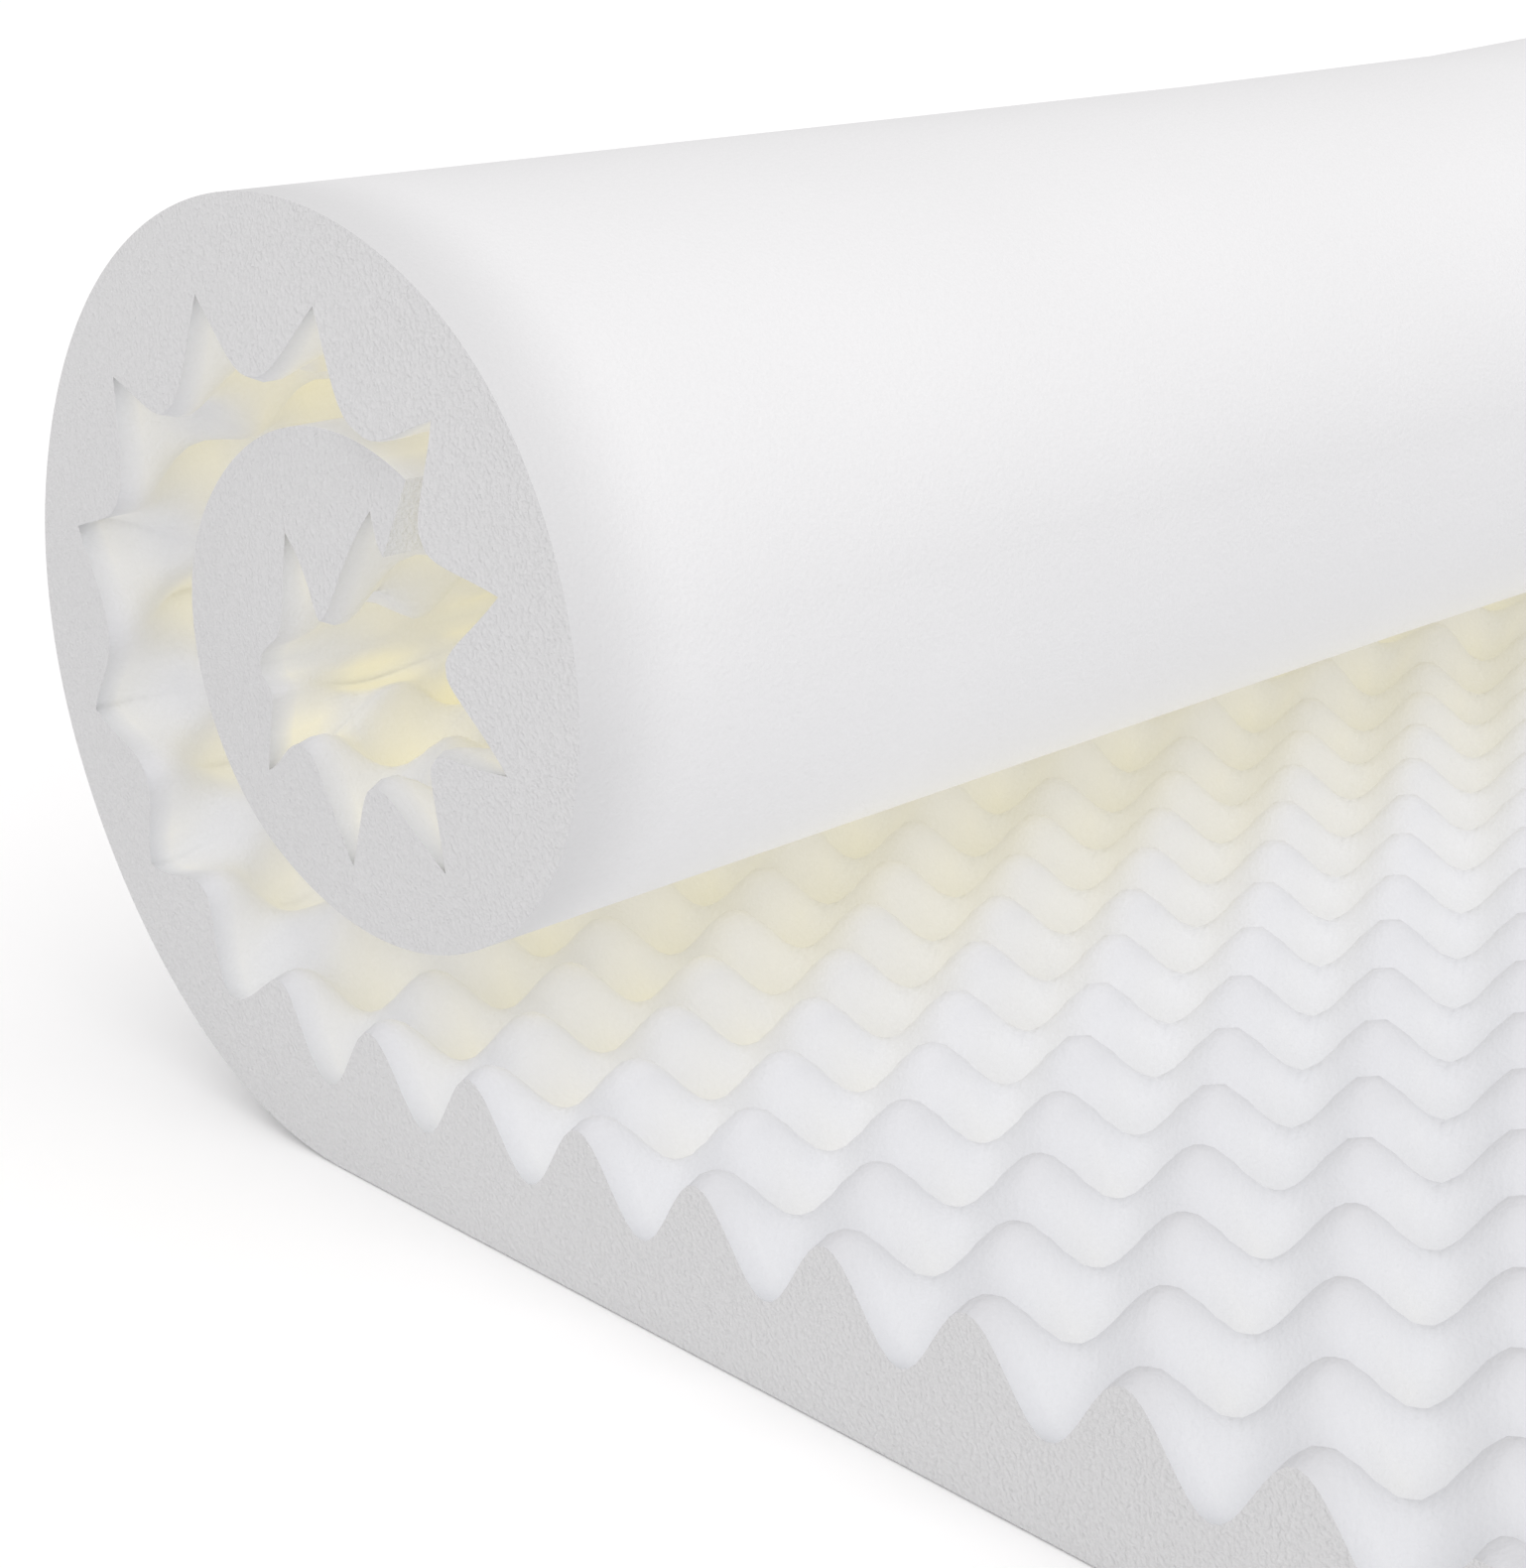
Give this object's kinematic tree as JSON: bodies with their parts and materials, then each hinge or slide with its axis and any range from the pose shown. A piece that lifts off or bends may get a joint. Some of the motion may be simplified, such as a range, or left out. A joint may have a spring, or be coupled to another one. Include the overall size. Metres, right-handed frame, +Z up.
{
  "type": "mattress topper",
  "caption": "Soft foam mattress topper slab with an egg-crate top and a smooth back, lying flat at one end and rolled up over itself at the other.",
  "frame": {"origin": "middle of the footprint, on the surface that the topper lies on", "axes": "+Z up, +Y along the foam from the flat end towards the roll, +X along the roll"},
  "size_m": [0.9109, 1.3834, 0.2581],
  "materials": {
    "foam": "soft open-cell foam, matt, near white"
  },
  "bodies": {
    "root": {"foam_topper": "foam"}
  },
  "joints": []
}
